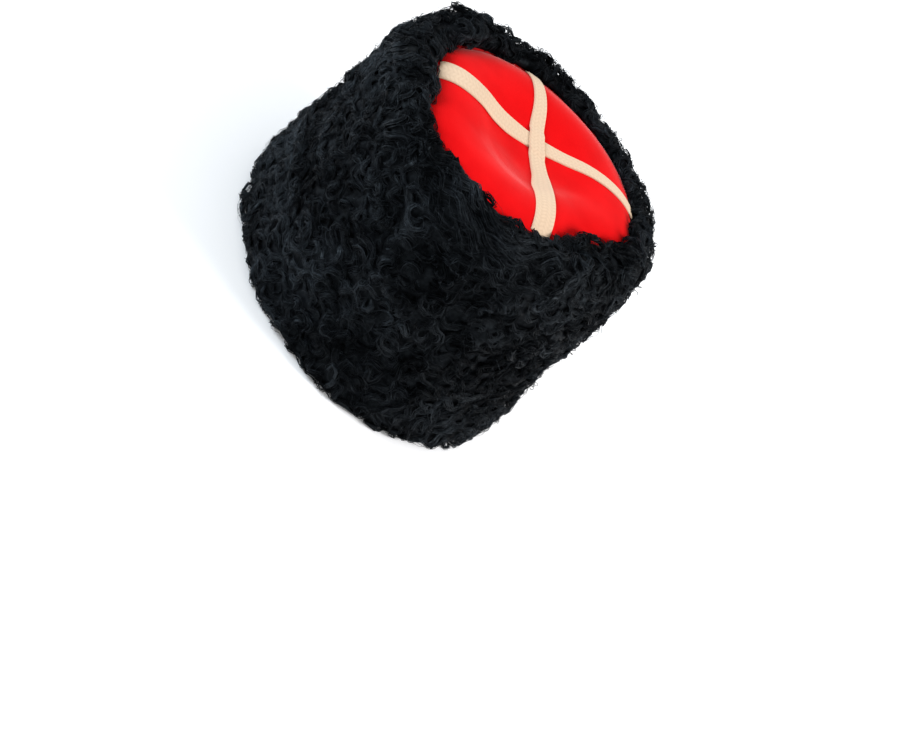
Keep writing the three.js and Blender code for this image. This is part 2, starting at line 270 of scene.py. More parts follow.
def suedeHide():
    # The flesh side of the skin, dyed with the wool: a fine dull nap, darker in its pores
    pores, patch = 1.11 * mm, 33.3 * mm  # the second is where the dye took more or less
    material, tree = newMaterial("dyedSuedeHide")
    place = addNode(tree, "ShaderNodeTexCoord")
    nap = addNode(tree, "ShaderNodeTexNoise", {
        "Vector": place.outputs["Object"], "Scale": 1 / pores, "Detail": 4})
    blotch = addNode(tree, "ShaderNodeTexNoise", {
        "Vector": place.outputs["Object"], "Scale": 1 / patch, "Detail": 4})
    colour = addNode(tree, "ShaderNodeValToRGB", {"Fac": blotch.outputs["Fac"]})
    colour.color_ramp.elements[0].position = 0.3
    colour.color_ramp.elements[0].color = toLinear("#2A2826")
    colour.color_ramp.elements[1].position = 0.7
    colour.color_ramp.elements[1].color = toLinear("#45413C")
    bump = addNode(tree, "ShaderNodeBump", {
        "Height": nap.outputs["Fac"], "Strength": 0.5, "Distance": 0.3 * mm})
    hide = addNode(tree, "ShaderNodeBsdfPrincipled", {
        "Base Color": colour.outputs["Color"], "Normal": bump.outputs["Normal"], "Roughness": 0.9,
        "Specular IOR Level": 0.2, "Sheen Weight": 0.15, "Sheen Roughness": 0.5})
    addNode(tree, "ShaderNodeOutputMaterial", {"Surface": hide.outputs["BSDF"]})
    return material


def fulledWool():
    # Red broadcloth: fulled and cropped until the weave hardly shows, with a short soft nap
    threads = 1.1 * mm                   # from one to the next, twice the real spacing so that they show
    naps, patch = 0.714 * mm, 22.2 * mm  # tufts of the nap, and where the dye took more or less
    material, tree = newMaterial("fulledWoolBroadcloth")
    place = addNode(tree, "ShaderNodeTexCoord")
    tint = addNode(tree, "ShaderNodeTexNoise", {
        "Vector": place.outputs["Object"], "Scale": 1 / patch, "Detail": 5})
    colour = addNode(tree, "ShaderNodeValToRGB", {"Fac": tint.outputs["Fac"]})
    colour.color_ramp.elements[0].position = 0.3
    colour.color_ramp.elements[0].color = toLinear("#CE070B")
    colour.color_ramp.elements[1].position = 0.7
    colour.color_ramp.elements[1].color = toLinear("#DC0C10")
    heights = []
    for direction in ("X", "Y"):
        heights.append(addNode(tree, "ShaderNodeTexWave", {
            "Vector": place.outputs["Object"], "Scale": math.pi / (10 * threads), "Distortion": 1.2,
            "Detail": 1, "Detail Scale": 2}, bands_direction=direction))
    weave = addNode(tree, "ShaderNodeMath", {0: heights[0].outputs["Fac"], 1: heights[1].outputs["Fac"]},
                    operation="MULTIPLY")
    nap = addNode(tree, "ShaderNodeTexNoise", {
        "Vector": place.outputs["Object"], "Scale": 1 / naps, "Detail": 4})
    surface = addNode(tree, "ShaderNodeMath", {0: weave.outputs[0], 1: nap.outputs["Fac"]},
                      operation="ADD")
    bump = addNode(tree, "ShaderNodeBump", {
        "Height": surface.outputs[0], "Strength": 0.22, "Distance": 0.2 * mm})
    cloth = addNode(tree, "ShaderNodeBsdfPrincipled", {
        "Base Color": colour.outputs["Color"], "Normal": bump.outputs["Normal"], "Roughness": 0.85,
        "Specular IOR Level": 0.04, "Sheen Weight": 0.36, "Sheen Roughness": 0.27,
        "Sheen Tint": toLinear("#FFC4C0")})
    addNode(tree, "ShaderNodeOutputMaterial", {"Surface": cloth.outputs["BSDF"]})
    return material


def creamBraid():
    # Cotton galloon: flat plaited threads in rows of chevrons, matt, with painted shade in the furrows
    fluff = 1.11 * mm                    # tufts of the cotton's loose fibres
    material, tree = newMaterial("plaitedCottonGalloon")
    uv = addNode(tree, "ShaderNodeUVMap", uv_map="alongBraid")
    fuzz = addNode(tree, "ShaderNodeTexNoise", {
        "Vector": uv.outputs["UV"], "Scale": 1 / fluff, "Detail": 3})
    relief = addNode(tree, "ShaderNodeAttribute", attribute_name="relief")
    # painted shade: the relief's furrows turn the cotton darker, with the fuzz's random tone mixed in
    shade = addNode(tree, "ShaderNodeMath", {0: relief.outputs["Fac"], 1: fuzz.outputs["Fac"], 2: 0.15},
                    operation="MULTIPLY_ADD")
    colour = addNode(tree, "ShaderNodeValToRGB", {"Fac": shade.outputs[0]})
    colour.color_ramp.elements[0].position = 0.1
    colour.color_ramp.elements[0].color = toLinear("#C9AD91")
    colour.color_ramp.elements[1].position = 0.6
    colour.color_ramp.elements[1].color = toLinear("#D8BDA0")
    bump = addNode(tree, "ShaderNodeBump", {
        "Height": fuzz.outputs["Fac"], "Strength": 0.25, "Distance": 0.15 * mm})
    cotton = addNode(tree, "ShaderNodeBsdfPrincipled", {
        "Base Color": colour.outputs["Color"], "Normal": bump.outputs["Normal"], "Roughness": 0.75,
        "Specular IOR Level": 0.25, "Sheen Weight": 0.08, "Sheen Roughness": 0.4})
    addNode(tree, "ShaderNodeOutputMaterial", {"Surface": cotton.outputs["BSDF"]})
    return material


def studioWhite():
    # Matt white acrylic, lit a little from behind as on a studio table
    material, tree = newMaterial("mattWhiteBoard")
    board = addNode(tree, "ShaderNodeBsdfPrincipled", {
        "Base Color": toLinear("#FAFAFA"), "Roughness": 0.95, "Specular IOR Level": 0.1,
        "Emission Color": toLinear("#FFFFFF"), "Emission Strength": 0.1})
    addNode(tree, "ShaderNodeOutputMaterial", {"Surface": board.outputs["BSDF"]})
    return material


wool = blackLambskin()
hide = suedeHide()
redCloth = fulledWool()
galloon = creamBraid()
print("materials done")

# The fleece's base: one closed skin, with the wool's packed pile outside and the hide inside

base = {
    "around": 260,
    "pileRows": 74,
    "insideRows": 20,
    "lump": 15 * mm,
    "lumpHeight": 1.6 * mm,
    "fineLumps": 0.7,             # how high those a third as wide are, as a share
    "sunk": 1.2 * mm,             # how deep the locks' roots cover it
    # painted shade: the pile under the locks is as dark as their deepest strands
    "tone": 0.26,
    "seed": 5,
}


def arc(centreR, centreZ, radius, start, end, count):
    turns = np.radians(np.linspace(start, end, count))[None, :]
    return centreR[:, None] + radius * np.cos(turns), centreZ + radius * np.sin(turns)


def pileSection(angle, count=400):       # radius and height up the outside, over and into the lip
    rimR, shoulder, lip = hat["rimRoll"], hat["shoulder"], hat["lipRoll"]
    raised = crest(angle)[:, None]
    sideTop = hatTop - shoulder
    opening = openingRadius(angle)
    foot = pileRadius(angle, rimR / hat["height"]) - rimR
    topCentre = pileRadius(angle, hatTop / hat["height"]) - shoulder
    z = np.linspace(rimR, sideTop, 60)
    side = pileRadius(angle[:, None], z[None, :] / hat["height"])
    toTop = smoothStep(z, 0.6 * sideTop, sideTop)[None, :]
    descent = np.linspace(hatTop - lip, seamHeight, 4)[None, 1:]
    easing = opening[:, None] + np.linspace(0, 1, 4)[None, 1:] * mm
    parts = [
        arc(foot, rimR, rimR, -80, 0, 8),
        (side[:, 1:-1], (z[None, :] + toTop * raised)[:, 1:-1]),
        arc(topCentre, sideTop + raised, shoulder, 0, 88, 16),
        arc(np.minimum(opening + lip, topCentre), hatTop - lip + raised, lip, 92, 180, 10),
        (easing, descent + raised * (descent > seamHeight)),
    ]
    radius = np.concatenate([np.broadcast_to(p[0], (len(angle), p[0].shape[1])) for p in parts], axis=1)
    height = np.concatenate([np.broadcast_to(p[1], (len(angle), p[1].shape[-1])) for p in parts], axis=1)
    steps = np.hypot(np.diff(radius, axis=1), np.diff(height, axis=1))
    run = np.concatenate([np.zeros((len(angle), 1)), np.cumsum(steps, axis=1)], axis=1)
    share = np.linspace(0, 1, count)
    evenR = np.array([np.interp(share * r[-1], r, line) for r, line in zip(run, radius)])
    evenZ = np.array([np.interp(share * r[-1], r, line) for r, line in zip(run, height)])
    return evenR, evenZ, run[:, -1]


# A chart of the pile's surface, that the locks read their places from
chartAngles = np.linspace(0, 2 * math.pi, 361)[:-1]
chartR, chartZ, chartRun = pileSection(chartAngles)
chartPoints = np.stack([chartR * np.cos(chartAngles)[:, None], chartR * np.sin(chartAngles)[:, None],
                        chartZ], axis=2)
aroundWay = np.roll(chartPoints, -1, axis=0) - np.roll(chartPoints, 1, axis=0)
upWay = np.gradient(chartPoints, axis=1)
chartNormals = np.cross(aroundWay, upWay)
chartNormals /= np.linalg.norm(chartNormals, axis=2, keepdims=True)
meanRun = float(chartRun.mean())


def onPile(angle, share):                # the place and the way out, between the chart's points
    a = (angle / (2 * math.pi) * 360) % 360
    s = np.clip(share, 0, 1) * (chartPoints.shape[1] - 1)
    a0 = np.floor(a).astype(int) % 360
    s0 = np.minimum(np.floor(s).astype(int), chartPoints.shape[1] - 2)
    fa, fs = (a - np.floor(a))[..., None], (s - s0)[..., None]
    found = []
    for chart in (chartPoints, chartNormals):
        low = chart[a0, s0] * (1 - fa) + chart[(a0 + 1) % 360, s0] * fa
        high = chart[a0, s0 + 1] * (1 - fa) + chart[(a0 + 1) % 360, s0 + 1] * fa
        found.append(low * (1 - fs) + high * fs)
    found[1] /= np.linalg.norm(found[1], axis=-1, keepdims=True)
    return found


def pileLump(place):                     # the pile's own hills and furrows
    return (wander(place, base["lump"], base["seed"])
            + base["fineLumps"] * wander(place, base["lump"] / 3, base["seed"] + 1)) * base["lumpHeight"]


def makeFleeceBase():
    around = base["around"]
    angles = np.linspace(0, 2 * math.pi, around, endpoint=False)
    shares = np.linspace(0, 1, base["pileRows"])
    place, out = onPile(angles[:, None] + 0 * shares[None, :], shares[None, :] + 0 * angles[:, None])
    ends = smoothStep(shares, 0.0, 0.05) * (1 - smoothStep(shares, 0.95, 1.0))
    place = place + out * ((pileLump(place) - base["sunk"]) * ends)[..., None]
    place[..., 2] = np.maximum(place[..., 2], 0)
    # the hide: from the seam under the lip, down the hollow and round the rim's inner edge
    seam = innerRadius(angles, seamHeight / hat["height"])
    zInside = np.linspace(seamHeight, hat["hideEase"], base["insideRows"])
    inner = innerRadius(angles[:, None], zInside[None, :] / hat["height"])
    rimIn = innerRadius(angles, 0) + hat["hideEase"]
    underLip = (openingRadius(angles) + seam) / 2
    insideR = np.concatenate([underLip[:, None], inner, rimIn[:, None]], axis=1)
    insideZ = np.concatenate([[seamHeight], zInside, [0]])
    inside = np.stack([insideR * np.cos(angles)[:, None], insideR * np.sin(angles)[:, None],
                       np.broadcast_to(insideZ, insideR.shape)], axis=2)
    grid = np.concatenate([place, inside], axis=1)
    rows = grid.shape[1]
    index = np.arange(around * rows).reshape(around, rows)
    ahead = np.roll(index, -1, axis=0)
    faces = quads(index, ahead, np.roll(ahead, -1, axis=1), np.roll(index, -1, axis=1))
    piece = meshObject("fleece_base", grid.reshape(-1, 3), faces, [wool, hide])
    isHide = np.zeros((around, rows), int)
    isHide[:, base["pileRows"]:rows - 1] = 1
    piece.data.polygons.foreach_set("material_index", isHide.ravel())
    tone = piece.data.attributes.new("tone", "FLOAT", "POINT")
    tone.data.foreach_set("value", np.full(around * rows, base["tone"], np.float32))
    return piece


fleeceBase = makeFleeceBase()
print("fleece base:", len(fleeceBase.data.polygons), "faces")

# The locks: each is a soft core under a bunch of strands that bend together, in a hook or a wave

locks = {
    "pitch": 7.8 * mm,            # from lock to lock
    "stray": 0.4,                 # how far a lock may lie off its place, as a share of the pitch
    "strands": 10,
    "points": 7,                  # along a strand
    "corePoints": 5,
    "core": 0.26,                 # how thick the core is, as a share of the lock's width
    "width": (3.0 * mm, 5.9 * mm),
    "hookLength": (13 * mm, 23 * mm),
    "hookTurn": (160, 340),       # degrees that a hook bends
    "waveLength": (17 * mm, 28 * mm),
    "waveTurn": (45, 95),
    "rise": (1.4 * mm, 5.0 * mm), # the crest of a lock over the pile
    "root": 1.6 * mm,             # how deep its ends lie in it
    "frizz": (0.12 * mm, 0.5 * mm),
    "frizzTurn": (9, 17),         # radians of crinkle along a strand
    "stagger": 0.35 * mm,         # how far a strand may lie over or under the others
    "clearance": 0.5 * mm,        # off the floor and the cloth
    "thickness": (0.14 * mm, 0.27 * mm),
    "sides": 3,
    "coreSides": 4,
    "strays": 1500,               # fine single hairs
    "strayPlaces": (0.02, 0.95),  # shares of the way up the pile
    "strayLift": (0.2 * mm, 1.0 * mm),
    "strayThickness": 0.13 * mm,
    "kinks": 800,                 # small open loops that stand up out of the rest
    "kinkPlaces": (0.01, 0.83),   # squares of such shares, so that more stand high up
    "kinkPoints": 10,
    "kinkRadius": (0.8 * mm, 1.7 * mm),
    "kinkTurn": (4.0, 7.5),       # radians that a loop goes round
    "kinkThickness": (0.16 * mm, 0.26 * mm),
    # patches of skin whose locks have a way, a bend, a hand, a rise or a tone in common: size and seed
    "wayPatch": (38 * mm, 22),
    "wavePatch": (42 * mm, 23),
    "handPatch": (24 * mm, 21),
    "risePatch": (17 * mm, 25),
    "tonePatch": (40 * mm, 24),
    "fineTonePatch": (15 * mm, 26),
    "seed": 11,
}
# longer wool lies smooth round the lip here
combed = {"angle": 66, "spread": 48, "share": 0.86, "tall": 0.17}
tufts = [                                # where a few locks stand out of the rest, or lie lower
    {"angle": 309, "share": 0.81, "reach": 13 * mm, "out": 3.2 * mm},
    {"angle": 353, "share": 0.03, "reach": 9 * mm, "out": 2.5 * mm},
    {"angle": 123, "share": 0.955, "reach": 11 * mm, "out": 3.0 * mm},
    {"angle": 97, "share": 0.95, "reach": 8 * mm, "out": -2.2 * mm},
    {"angle": 74, "share": 0.955, "reach": 9 * mm, "out": 2.0 * mm},
    {"angle": 39, "share": 0.93, "reach": 10 * mm, "out": -1.3 * mm},
    {"angle": 256, "share": 0.99, "reach": 22 * mm, "out": 4.6 * mm},
]


def placeLocks(rng):
    rowCount = int(round(meanRun / locks["pitch"]))
    angles, shares = [], []
    for row in range(rowCount):
        share = (row + 0.45) / rowCount
        radius = np.interp(share * (chartR.shape[1] - 1), np.arange(chartR.shape[1]), chartR.mean(axis=0))
        count = int(round(2 * math.pi * radius / locks["pitch"]))
        spots = (np.arange(count) + 0.5 * (row % 2) + rng.uniform(-1, 1, count) * locks["stray"]) / count
        angles.append(spots * 2 * math.pi)
        shares.append(share + rng.uniform(-1, 1, count) * locks["stray"] / rowCount)
    return np.concatenate(angles), np.clip(np.concatenate(shares), 0.012, 0.985)


def spread(rng, limits, count):
    return rng.uniform(limits[0], limits[1], count)


def layLocks(rng, angle, share):
    # what the strands of a lock have in common: its way, bend, length, width and rise
    middle, _ = onPile(angle, share)
    count = len(angle)
    low = 1 - smoothStep(middle[:, 2], 0.25 * hat["height"], 0.6 * hat["height"])
    smooth = (fade(turnBetween(angle, combed["angle"]) / combed["spread"])
              * fade((share - combed["share"]) / combed["tall"]))
    patch = {key: wander(middle, *locks[key + "Patch"])
             for key in ("way", "wave", "hand", "rise", "tone", "fineTone")}
    flow = 1.4 * math.pi * patch["way"] * (1 - 0.7 * low) + 0.4 * rng.normal(size=count)
    flow = flow * (1 - np.minimum(1, 1.3 * smooth))
    wavy = 0.5 + 0.5 * patch["wave"] + 0.25 * low + 1.5 * smooth > rng.uniform(0.1, 1, count)
    hand = np.where(patch["hand"] + 0.5 * rng.normal(size=count) > 0, 1, -1)
    tuft = 0.5 + 0.5 * patch["rise"]
    return {
        "angle": angle, "share": share, "middle": middle, "flow": flow, "wavy": wavy, "hand": hand,
        "phase": rng.uniform(0, 2 * math.pi, count),
        "turn": np.radians(np.where(wavy, spread(rng, locks["waveTurn"], count) * (1 - 0.6 * smooth),
                                    spread(rng, locks["hookTurn"], count))),
        "length": np.where(wavy, spread(rng, locks["waveLength"], count) * (1 + 0.5 * smooth),
                           spread(rng, locks["hookLength"], count)),
        "width": spread(rng, locks["width"], count),
        "rise": (locks["rise"][0] + (locks["rise"][1] - locks["rise"][0])
                 * np.clip(0.65 * tuft + 0.35 * rng.uniform(size=count), 0, 1)) * (1 - 0.3 * smooth),
        "lean": rng.normal(size=count) * 0.22,
        "tone": 0.52 + 0.3 * patch["tone"] + 0.2 * patch["fineTone"] + 0.12 * rng.normal(size=count),
    }


def leadPath(lock, t):                   # a lock's middle line: its place on the skin and its heading
    fine = np.linspace(0, 1, 33)[None, :]
    bend = np.where(lock["wavy"][:, None],
                    np.sin(2 * math.pi * fine + lock["phase"][:, None]) * lock["turn"][:, None],
                    (fine**1.25 - 0.45) * lock["turn"][:, None])
    heading = lock["flow"][:, None] + lock["hand"][:, None] * bend
    x = np.cumsum(np.cos(heading), axis=1) * lock["length"][:, None] / 33
    y = np.cumsum(np.sin(heading), axis=1) * lock["length"][:, None] / 33
    x, y = x - x.mean(axis=1, keepdims=True), y - y.mean(axis=1, keepdims=True)
    s = np.clip(t, 0, 1) * 32
    i = np.minimum(s.astype(int), 31)
    part = s - i
    rows = np.arange(len(x))[:, None]
    return [v[rows, i] * (1 - part) + v[rows, i + 1] * part for v in (x, y, heading)]


def standOut(place):                     # the tufts' extra height at a place
    out = 0
    for tuft in tufts:
        centre, _ = onPile(np.radians(np.array(tuft["angle"])), np.array(tuft["share"]))
        out = out + tuft["out"] * fade(np.linalg.norm(place - centre, axis=-1) / tuft["reach"])
    return out


def clearOfCloth(points):                # lifts what would lie under the floor or in the cloth
    points[..., 2] = np.maximum(points[..., 2], locks["clearance"])
    x, y, z = points[..., 0], points[..., 1], points[..., 2]
    overCloth = np.hypot(x, y) < openingRadius(np.arctan2(y, x))
    points[..., 2] = np.where(overCloth, np.maximum(z, clothTop(x, y) + locks["clearance"]), z)
    return points


def growStrands(rng, lock, aside, pointCount, fine=False):
    # points of one strand in each lock, aside of the lead path by a share of the lock's width
    count = len(lock["angle"])
    ends = np.stack([rng.uniform(0, 0.1, count), rng.uniform(0.82, 1.0, count)], axis=1)
    t = np.linspace(0, 1, pointCount)[None, :]
    along = ends[:, :1] + (ends[:, 1:] - ends[:, :1]) * t
    x, y, heading = leadPath(lock, along)
    swelled = (0.4 + 0.6 * np.sin(math.pi * np.clip(along * 1.08, 0, 1)) ** 0.7) * lock["width"][:, None]
    crinkle = (spread(rng, locks["frizz"], count)[:, None] * np.sin(
        t * spread(rng, locks["frizzTurn"], count)[:, None] + rng.uniform(0, 6.28, count)[:, None]))
    off = aside[:, None] * swelled / 2 + crinkle
    x, y = x - np.sin(heading) * off, y + np.cos(heading) * off
    arch = np.sin(math.pi * np.clip(along * 0.92 + 0.06, 0, 1)) ** 0.6
    dome = np.sqrt(np.maximum(0, 1 - (aside[:, None] * 0.85) ** 2)) * swelled * 0.26
    h = lock["rise"][:, None] * arch + dome - locks["root"] - swelled * 0.2 + off * lock["lean"][:, None]
    h = h + rng.normal(size=(count, 1)) * locks["stagger"]
    if fine:
        h = h * 1.2 + spread(rng, locks["strayLift"], count)[:, None] * t
    ring = np.hypot(lock["middle"][:, 0], lock["middle"][:, 1])[:, None]
    run = np.interp(lock["angle"] % (2 * math.pi), chartAngles, chartRun)[:, None]
    place, out = onPile(lock["angle"][:, None] + x / ring, lock["share"][:, None] + y / run)
    points = clearOfCloth(place + out * (h + pileLump(place) + standOut(place))[..., None])
    # painted shade: strands that lie deep between the locks get a darker tone, down to half of it
    outOfPaintedShade = smoothStep(h, -1.2 * mm, 2.4 * mm)           # what lies deep is darker
    tone = np.clip((lock["tone"] + 0.16 * rng.normal(size=count))[:, None] * (0.5 + 0.5 * outOfPaintedShade), 0, 1)
    return points, along * np.ones_like(h), tone


def growKinks(rng):                      # loops that stand on the locks, open to all sides
    count = locks["kinks"]
    angle = rng.uniform(0, 2 * math.pi, count)[:, None]
    share = np.sqrt(spread(rng, locks["kinkPlaces"], count))[:, None]
    radius = spread(rng, locks["kinkRadius"], count)[:, None]
    way = rng.uniform(0, 2 * math.pi, count)[:, None]
    turn = np.linspace(0, 1, locks["kinkPoints"])[None, :] * spread(rng, locks["kinkTurn"], count)[:, None]
    along = radius * (np.sin(turn) + 0.25 * turn)
    h = 0.6 * mm + radius * (1 - np.cos(turn))
    middle, _ = onPile(angle, share)
    ring = np.hypot(middle[..., 0], middle[..., 1])
    place, out = onPile(angle + along * np.cos(way) / ring, share + along * np.sin(way) / meanRun)
    points = clearOfCloth(place + out * (h + pileLump(place) + standOut(place))[..., None])
    tone = np.broadcast_to(rng.uniform(0.35, 0.8, count)[:, None], turn.shape)
    thickness = np.broadcast_to(spread(rng, locks["kinkThickness"], count)[:, None], turn.shape)
    return points, thickness, tone


def growLocks(rng, lock):
    # every lock's core and strands, with the tapers that make them tips
    count = len(lock["angle"])
    places = np.linspace(-1, 1, locks["strands"])
    points, thickness, tone, owner = [], [], [], []
    for place in places:
        aside = np.clip(place + rng.normal(size=count) * 0.28, -1.3, 1.3)
        where, along, shade = growStrands(rng, lock, aside, locks["points"])
        thick = spread(rng, locks["thickness"], count)[:, None]
        points.append(where)
        thickness.append(thick * (0.6 + 0.4 * np.minimum(1, along * 5)) * (1 - 0.65 * along**2.5))
        tone.append(shade)
        owner.append(np.arange(count))
    core, along, shade = growStrands(rng, lock, np.zeros(count), locks["corePoints"])
    width = lock["width"][:, None]
    shares = np.repeat(lock["share"][:, None], core.shape[1], axis=1)
    _, out = onPile(np.arctan2(core[..., 1], core[..., 0]), shares)
    core = core - out * (width * 0.3)[..., None]
    core[..., 2] = np.maximum(core[..., 2], 0.27 * width)
    body = locks["core"] * width * (0.45 + 0.55 * np.sin(math.pi * np.clip(along * 1.05, 0, 1)) ** 0.7)
    strands = [np.concatenate(part) for part in (points, thickness, tone, owner)]
    # painted shade: the cores, which lie under the strands, get 0.7 of their tone
    return strands, (core, body, shade * 0.7)


def sweepTree():
    # sweeps a tapering tube along every strand, and keeps the place along and round it for the fibres
    tree = bpy.data.node_groups.new("sweepStrands", "GeometryNodeTree")
    tree.interface.new_socket("Geometry", in_out="INPUT", socket_type="NodeSocketGeometry")
    tree.interface.new_socket("Sides", in_out="INPUT", socket_type="NodeSocketInt")
    tree.interface.new_socket("Fullness", in_out="INPUT", socket_type="NodeSocketFloat")
    tree.interface.new_socket("Wool", in_out="INPUT", socket_type="NodeSocketMaterial")
    tree.interface.new_socket("Geometry", in_out="OUTPUT", socket_type="NodeSocketGeometry")
    given = addNode(tree, "NodeGroupInput")
    thickness = addNode(tree, "GeometryNodeInputNamedAttribute", {"Name": "thickness"}, data_type="FLOAT")
    full = addNode(tree, "ShaderNodeMath", {
        0: thickness.outputs["Attribute"], 1: given.outputs["Fullness"]}, operation="MULTIPLY")
    lines = addNode(tree, "GeometryNodeMeshToCurve", {"Mesh": given.outputs["Geometry"]})
    way = addNode(tree, "GeometryNodeSplineParameter")
    marked = addNode(tree, "GeometryNodeStoreNamedAttribute", {
        "Geometry": lines.outputs["Curve"], "Name": "along", "Value": way.outputs["Length"]},
        data_type="FLOAT", domain="POINT")
    section = addNode(tree, "GeometryNodeCurvePrimitiveCircle", {
        "Resolution": given.outputs["Sides"], "Radius": 1.0})
    spot = addNode(tree, "GeometryNodeInputPosition")
    ringed = addNode(tree, "GeometryNodeStoreNamedAttribute", {
        "Geometry": section.outputs["Curve"], "Name": "round", "Value": spot.outputs["Position"]},
        data_type="FLOAT_VECTOR", domain="POINT")
    tubes = addNode(tree, "GeometryNodeCurveToMesh", {
        "Curve": marked.outputs["Geometry"], "Profile Curve": ringed.outputs["Geometry"],
        "Scale": full.outputs[0], "Fill Caps": True})
    smooth = addNode(tree, "GeometryNodeSetShadeSmooth", {"Geometry": tubes.outputs["Mesh"]})
    real = addNode(tree, "GeometryNodeRealizeInstances", {"Geometry": smooth.outputs["Geometry"]})
    dressed = addNode(tree, "GeometryNodeSetMaterial", {
        "Geometry": real.outputs["Geometry"], "Material": given.outputs["Wool"]})
    addNode(tree, "NodeGroupOutput", {"Geometry": dressed.outputs["Geometry"]})
    return tree


strandTree = sweepTree()


def plainMesh(piece):                    # the modifiers' result as a mesh of its own
    evaluated = piece.evaluated_get(bpy.context.evaluated_depsgraph_get())
    mesh = bpy.data.meshes.new_from_object(evaluated)
    piece.modifiers.clear()
    piece.data = mesh
    mesh.name = piece.name
    return piece


def sweep(name, points, thickness, tone, sides):
    count, along = points.shape[:2]
    index = np.arange(count * along).reshape(count, along)
    edges = np.stack([index[:, :-1], index[:, 1:]], axis=2).reshape(-1, 2)
    mesh = bpy.data.meshes.new(name)
    mesh.from_pydata(points.reshape(-1, 3).tolist(), edges.tolist(), [])
    for label, values in (("thickness", thickness), ("tone", tone)):
        layer = mesh.attributes.new(label, "FLOAT", "POINT")
        layer.data.foreach_set("value", np.ascontiguousarray(values, np.float32).ravel())
    piece = bpy.data.objects.new(name, mesh)
    bpy.context.scene.collection.objects.link(piece)
    sweeper = piece.modifiers.new("sweep", "NODES")
    sweeper.node_group = strandTree
    sockets = {s.name: s.identifier for s in strandTree.interface.items_tree if s.in_out == "INPUT"}
    sweeper[sockets["Sides"]] = sides
    sweeper[sockets["Fullness"]] = 1.0
    sweeper[sockets["Wool"]] = wool
    plainMesh(piece)
    triangles = sum(len(p.vertices) - 2 for p in piece.data.polygons)
    print(name + ":", count, "strands,", triangles, "triangles")
    return piece


def joined(name, parts):                 # the cores and strands of a band as one piece
    with bpy.context.temp_override(active_object=parts[0], selected_editable_objects=parts):
        bpy.ops.object.join()
    parts[0].name = name
    parts[0].data.name = name
    return parts[0]


def makeLocks():
    rng = np.random.default_rng(locks["seed"])
    lock = layLocks(rng, *placeLocks(rng))
    (points, thickness, tone, owner), (corePoints, coreBody, coreToneWithPaintedShade) = growLocks(rng, lock)
    strays = locks["strays"]
    hairAngle = rng.uniform(0, 2 * math.pi, strays)
    hair = layLocks(rng, hairAngle, spread(rng, locks["strayPlaces"], strays))
    hairPoints, along, hairTone = growStrands(rng, hair, np.zeros(strays), locks["points"], fine=True)
    hairThickness = locks["strayThickness"] * (1 - 0.5 * along)
    kinkPoints, kinkThickness, kinkTone = growKinks(rng)
    names = ["locks_at_rim", "locks_low_on_side", "locks_high_on_side", "locks_on_shoulder",
             "locks_at_crown"]
    steps = np.quantile(lock["share"], np.linspace(0, 1, len(names) + 1))[1:-1]
    band = np.searchsorted(steps, lock["share"])
    hairBand = np.searchsorted(steps, hair["share"])
    pieces = []
    for i, name in enumerate(names):
        mine = band[owner] == i
        strands = sweep(name, np.concatenate([points[mine], hairPoints[hairBand == i]]),
                        np.concatenate([thickness[mine], hairThickness[hairBand == i]]),
                        np.concatenate([tone[mine], hairTone[hairBand == i]]), locks["sides"])
        mine = band == i
        cores = sweep(name + "_cores", corePoints[mine], coreBody[mine], coreToneWithPaintedShade[mine], locks["coreSides"])
        pieces.append(joined(name, [strands, cores]))
    pieces.append(sweep("kinks_over_locks", kinkPoints, kinkThickness, kinkTone, locks["sides"]))
    return pieces


lockPieces = makeLocks()

# The crown: a disc of red cloth, drawn over a padded ring and sunk in the middle

crown = {"around": 160, "rings": 56, "ripple": 0.35 * mm, "rippleSize": 24 * mm, "seed": 31}


def makeCrown():
    around, rings = crown["around"], crown["rings"]
    angles = np.linspace(0, 2 * math.pi, around, endpoint=False)
    opening = openingRadius(angles)
    edge = innerRadius(angles, seamHeight / hat["height"]) - hat["clothGap"]
    shares = np.linspace(0, 1, rings)[1:]
    radius = opening[:, None] * shares[None, :]
    radius = np.concatenate([radius, ((opening + edge) / 2)[:, None], edge[:, None]], axis=1)
    x, y = radius * np.cos(angles)[:, None], radius * np.sin(angles)[:, None]
    z = clothTop(x, y)
    flat = np.stack([x, y, z], axis=2)
    inside = 1 - smoothStep(radius / opening[:, None], 0.85, 1.0)
    z = z + wander(flat, crown["rippleSize"], crown["seed"]) * crown["ripple"] * inside
    top = np.stack([x, y, z], axis=2)
    under = top - np.array([0, 0, hat["clothThickness"]])
    count = radius.shape[1]
    middle = clothTop(np.zeros(1), np.zeros(1))[0]
    vertices = np.concatenate([top.reshape(-1, 3), under.reshape(-1, 3),
                               [[0, 0, middle], [0, 0, middle - hat["clothThickness"]]]])
    topAt = np.arange(around * count).reshape(around, count)
    underAt = topAt + around * count
    nextTop, nextUnder = np.roll(topAt, -1, axis=0), np.roll(underAt, -1, axis=0)
    faces = quads(topAt[:, :-1], topAt[:, 1:], nextTop[:, 1:], nextTop[:, :-1])
    faces += quads(underAt[:, :-1], nextUnder[:, :-1], nextUnder[:, 1:], underAt[:, 1:])
    faces += quads(topAt[:, -1], underAt[:, -1], nextUnder[:, -1], nextTop[:, -1])
    topMiddle, underMiddle = len(vertices) - 2, len(vertices) - 1
    faces += [[topMiddle, int(a), int(b)] for a, b in zip(topAt[:, 0], nextTop[:, 0])]
    faces += [[underMiddle, int(b), int(a)] for a, b in zip(underAt[:, 0], nextUnder[:, 0])]
    piece = meshObject("crown_cloth_sheet", vertices, faces, [redCloth])
    print("crown cloth:", len(faces), "faces")
    return piece


crownSheet = makeCrown()

# The braids: flat galloon that follows the cloth, the long one over the side one

